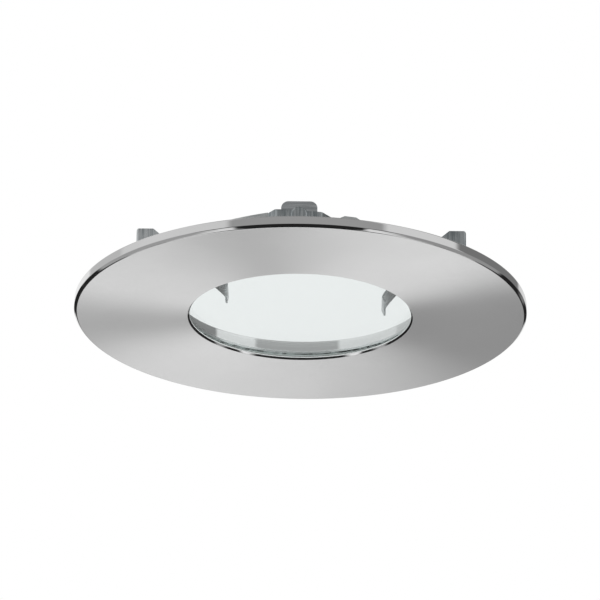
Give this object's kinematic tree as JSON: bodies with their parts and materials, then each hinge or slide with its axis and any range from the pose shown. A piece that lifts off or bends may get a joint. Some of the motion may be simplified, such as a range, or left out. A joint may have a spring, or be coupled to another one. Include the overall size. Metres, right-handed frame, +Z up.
{
  "type": "soffit downlight",
  "caption": "Round soffit downlight front trim: chrome bezel with a glass lens, a soffit seal, and sprung steel leaves and catches behind it on a screwed back plate.",
  "frame": {"origin": "on the lamp's axis, in the plane of the soffit's outer surface, where the seal meets it", "axes": "+Z up into the soffit, away from the face; +X and -X point at the spring leaves, and -Y at the front catch"},
  "size_m": [0.091, 0.091, 0.0177],
  "materials": {
    "chrome": "bright chrome plate with a fine satin grain on the face",
    "clear_glass": "clear float glass with a faint green tint",
    "silicone": "translucent grey silicone",
    "ring_steel": "bright drawn spring wire",
    "seal_rubber": "matt black rubber",
    "sheet_steel": "zinc plated sheet steel with rolling streaks",
    "spring_steel": "rolled spring steel with brushed streaks",
    "fastener_steel": "zinc plated steel"
  },
  "bodies": {
    "trim": {"bezel": "chrome", "lens_glass": "clear_glass", "lens_gasket": "silicone", "lens_retaining_ring": "ring_steel", "ceiling_gasket": "seal_rubber", "base_plate": "sheet_steel", "plate_screws": "fastener_steel", "spring_upright_left": "sheet_steel", "spring_upright_right": "sheet_steel", "spring_anchor_left": "spring_steel", "spring_anchor_right": "spring_steel", "catch_bracket_front": "sheet_steel", "catch_bracket_rear": "sheet_steel", "catch_tongue_front": "spring_steel", "catch_tongue_rear": "spring_steel", "foot_rivets": "fastener_steel", "strip_rivets": "fastener_steel", "catch_rivets": "fastener_steel"},
    "left_leaf": {"spring_leaf_left": "spring_steel"},
    "right_leaf": {"spring_leaf_right": "spring_steel"}
  },
  "joints": [
    {"name": "left_leaf_flex", "type": "hinge", "parent": "trim", "child": "left_leaf", "pos_m": [-0.0302, 0, 0.0144], "axis": [0, 1, 0], "range_deg": [-27, 10.4], "stiffness_Nm_per_rad": 0.006},
    {"name": "right_leaf_flex", "type": "hinge", "parent": "trim", "child": "right_leaf", "pos_m": [0.0302, 0, 0.0144], "axis": [0, -1, 0], "range_deg": [-37, 0.4], "stiffness_Nm_per_rad": 0.006}
  ]
}
